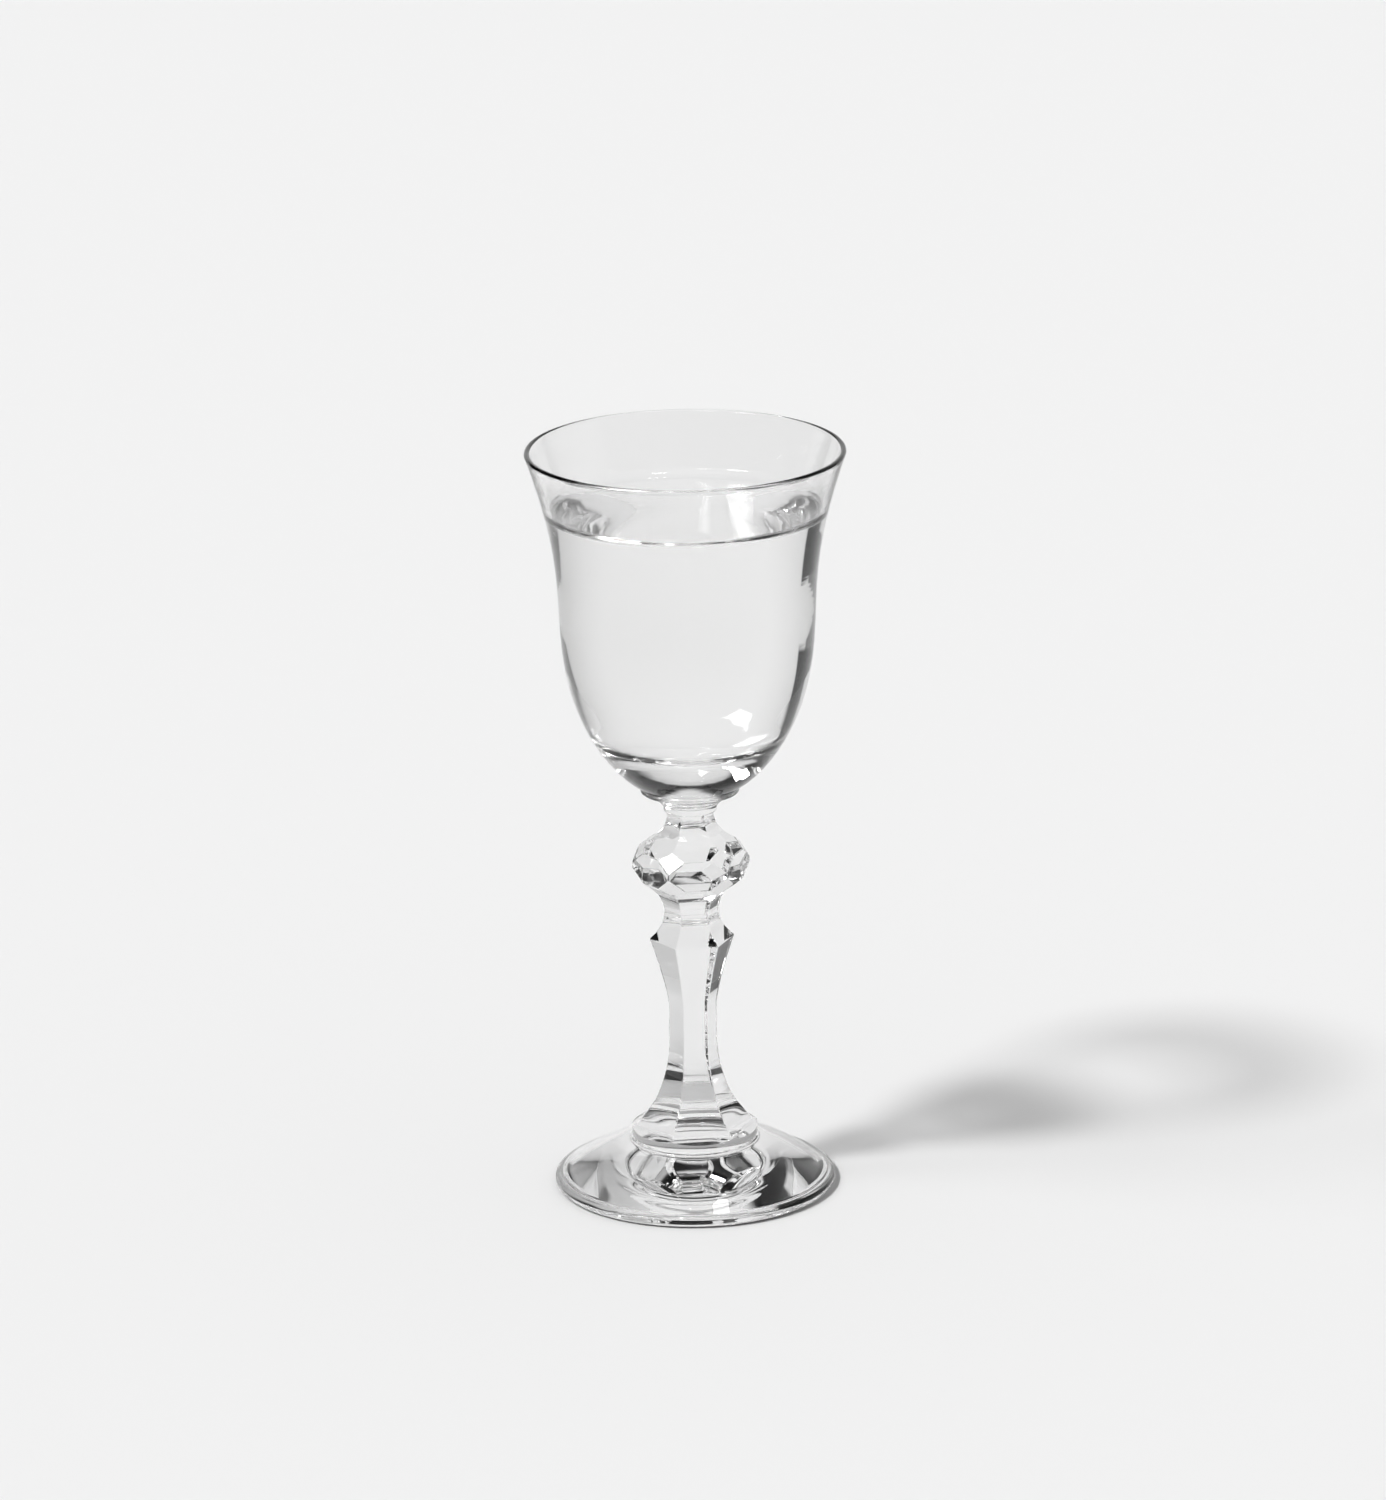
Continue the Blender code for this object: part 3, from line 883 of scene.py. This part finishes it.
area_lamp("key_softbox", bearing(-126, 45.6), (1.8, 1.9), 218.0, tilt=-29)
area_lamp("top_softbox", bearing(-161, 51.5), (0.53, 2.0), 33.0, tilt=-29)
area_lamp("overhead_softbox", bearing(85, 79), (1.0, 1.0), 36.0)
sun_lamp("key_on_table", bearing(-122.5, 51.5), 2.35, 8)
sun_lamp("side_on_table", bearing(-100, 45), 0.58, 18)
sun_lamp("overhead_fill", (0, 0, 1), 1.25, 150)

# %% [markdown]
# ## The room
# The room is what the glass shows beyond the table: a pale sweep low behind it, darker walls, and a
# small bright patch of ceiling. The dark edges of the glass are the dark parts of this room. Two rings
# of greys, given by their turn from straight behind, describe it near the table and higher up. It
# lights glass only, so it doesn't wash out the shadow on the table.

# %% Paint the room
PLAIN_ROOM = 0.85
HORIZON = [
    (-112, 0.01), (-85, 0.15), (-70, 0.35), (-65, 0.75), (-55, 0.75), (-52, 0.05), (-39, 0.05),
    (-36, 0.85), (0, 1.0), (35, 0.85), (44, 0.62), (49, 0.15), (55, 0.15), (60, 0.45), (75, 0.50),
    (105, 0.45), (118, 0.012),
]
WALLS = [
    (-118, 0.01), (-105, 0.06), (-70, 0.02), (-29, 0.01), (-23, 0.90), (0, 1.0), (12, 0.92),
    (20, 0.82), (35, 0.68), (60, 0.58), (102, 0.52), (118, 0.03),
]
BACK_CLIMB = [
    (0.0, 0.87), (0.12, 0.85), (0.22, 0.80), (0.545, 0.82), (0.59, 0.73), (0.635, 0.74),
    (0.665, 0.20), (0.69, 0.02),
]
SIDE_CLIMB = [(0.0, 0.87), (0.12, 0.85), (0.38, 0.80), (0.50, 0.12), (0.60, 0.02)]
CEILING = [(0.945, 0.0), (0.965, 0.7)]
WALLS_FROM = (12.0, -1.9)
SIDES_FROM = (24.0, -1.33)
FRONT_FROM = (24.0, -4.4)


def make_world():
    """A pale sweep low behind the glass, darker walls and a bright patch of ceiling."""
    world = bpy.data.worlds.new("studio")
    world.use_nodes = True
    world.cycles_visibility.diffuse = False
    nodes, links = world.node_tree.nodes, world.node_tree.links
    calc, ramp, reach, blend = node_tools(world.node_tree)
    direction = nodes.new("ShaderNodeTexCoord").outputs["Generated"]
    behind = reach(direction, seen_from_camera(0, 1, 0))
    right = reach(direction, seen_from_camera(1, 0, 0))
    up = reach(direction, (0, 0, 1))
    around = calc("MULTIPLY_ADD", calc("ARCTAN2", right, behind), 0.5 / math.pi, 0.5)
    turned = calc("ABSOLUTE", calc("SUBTRACT", around, 0.5))
    low = ramp(around, [(0.5 + turn / 360, grey) for turn, grey in HORIZON])
    high = ramp(around, [(0.5 + turn / 360, grey) for turn, grey in WALLS])
    sweep = blend(calc("MULTIPLY_ADD", up, *WALLS_FROM, clamp=True), low, high)
    to_side = calc("MULTIPLY_ADD", turned, *SIDES_FROM, clamp=True)
    upward = blend(to_side, ramp(up, BACK_CLIMB), ramp(up, SIDE_CLIMB))
    room = calc("ADD", blend(1.0, sweep, upward, how="MULTIPLY"), ramp(up, CEILING))
    in_front = calc("MULTIPLY_ADD", turned, *FRONT_FROM, clamp=True)
    plain = calc("MULTIPLY", in_front, straight_on(calc, nodes.new("ShaderNodeLightPath")))
    seen = blend(plain, room, PLAIN_ROOM, kind="FLOAT")
    links.new(seen, nodes["Background"].inputs["Color"])
    bpy.context.scene.world = world
    print("the room has", len(HORIZON), "greys near the table and", len(WALLS), "higher up")


make_world()

# %% [markdown]
# ## The camera
# A long lens from a little above: the rim and the foot are ellipses of slightly different roundness,
# and the two together give the distance and the height.

# %% Place the camera
CAMERA_AWAY = 1.300
CAMERA_UP = 0.4809
CAMERA_SIDE = 0.00065
CAMERA_PITCH = math.radians(17.136)
CAMERA_ROLL = math.radians(0.814)
FOCAL_PIXELS = 7766.0
FRAME_HEIGHT = 1500.0


def make_camera():
    camera = bpy.data.objects.new("camera", bpy.data.cameras.new("camera"))
    camera.data.sensor_width = 36.0
    camera.data.lens = FOCAL_PIXELS / FRAME_HEIGHT * camera.data.sensor_width
    ahead = seen_from_camera(0, math.cos(CAMERA_PITCH), -math.sin(CAMERA_PITCH))
    camera.location = seen_from_camera(CAMERA_SIDE, -CAMERA_AWAY, CAMERA_UP)
    camera.rotation_mode = "QUATERNION"
    camera.rotation_quaternion = ahead.to_track_quat("-Z", "Y") @ Quaternion((0, 0, 1), -CAMERA_ROLL)
    camera.data.clip_start, camera.data.clip_end = 0.1, 60.0
    bpy.context.scene.collection.objects.link(camera)
    bpy.context.scene.camera = camera
    return camera


print("lens of", round(make_camera().data.lens, 1), "mm at", CAMERA_AWAY, "m")

# %% [markdown]
# ## Picture settings and the end
# Plain sRGB keeps the pale table pale. Light has to cross many skins of glass, so the paths are long.

# %% Finish
scene = bpy.context.scene
scene.view_settings.view_transform = "Standard"
scene.cycles.max_bounces = 32
scene.cycles.sample_clamp_indirect = 0.0
scene.cycles.caustics_refractive = False
scene.cycles.caustics_reflective = False
scene.cycles.transmission_bounces = 32
scene.cycles.glossy_bounces = 16
scene.cycles.transparent_max_bounces = 64

print("light may pass", scene.cycles.transmission_bounces, "skins of glass")
